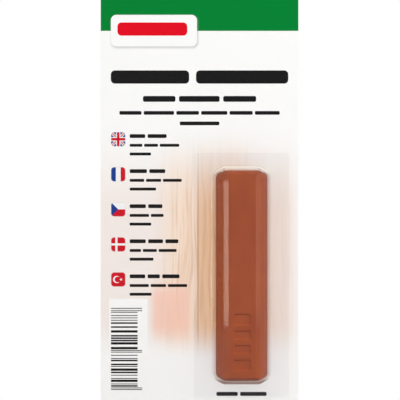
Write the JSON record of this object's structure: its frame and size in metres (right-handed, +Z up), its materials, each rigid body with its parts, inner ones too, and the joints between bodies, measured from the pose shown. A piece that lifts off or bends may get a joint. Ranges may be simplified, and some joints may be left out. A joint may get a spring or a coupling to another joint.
{
  "type": "carded wax filler stick",
  "caption": "Moulded wax bar for filling scratches in wood, held with a flat spatula in a clear blister that peels from a hanging shop card.",
  "frame": {"origin": "top of the peg slot's hump, where the peg bears, on the card's back face", "axes": "+Z up along the card as it hangs, +X to the right seen from the front, +Y out of the card's back"},
  "size_m": [0.075, 0.0121, 0.175],
  "materials": {
    "printed_board": "coated and printed front, uncoated back",
    "clear_film": "clear thermoformed film",
    "filler_wax": "moulded wax, soft sheen",
    "spatula_plastic": "moulded plastic"
  },
  "bodies": {
    "card": {"backing_card": "printed_board"},
    "blister": {"blister_shell": "clear_film"},
    "wax_bar": {"wax_bar": "filler_wax"},
    "spatula": {"spatula": "spatula_plastic"}
  },
  "joints": [
    {"name": "blister_peel", "type": "hinge", "parent": "card", "child": "blister", "pos_m": [0.0339, -0.001, -0.119], "axis": [0, 0, 1], "range_deg": [0, 150]},
    {"name": "bar_release", "type": "slide", "parent": "blister", "child": "wax_bar", "axis": [0, 1, 0], "range_m": [0, 0.008]},
    {"name": "spatula_release", "type": "slide", "parent": "card", "child": "spatula", "axis": [-1, 0, 0], "range_m": [0, 0.042]}
  ],
  "couplings": [
    {"joint": "bar_release", "follows": "blister_peel", "m_per_rad": 0.003},
    {"joint": "spatula_release", "follows": "blister_peel", "m_per_rad": 0.016}
  ]
}
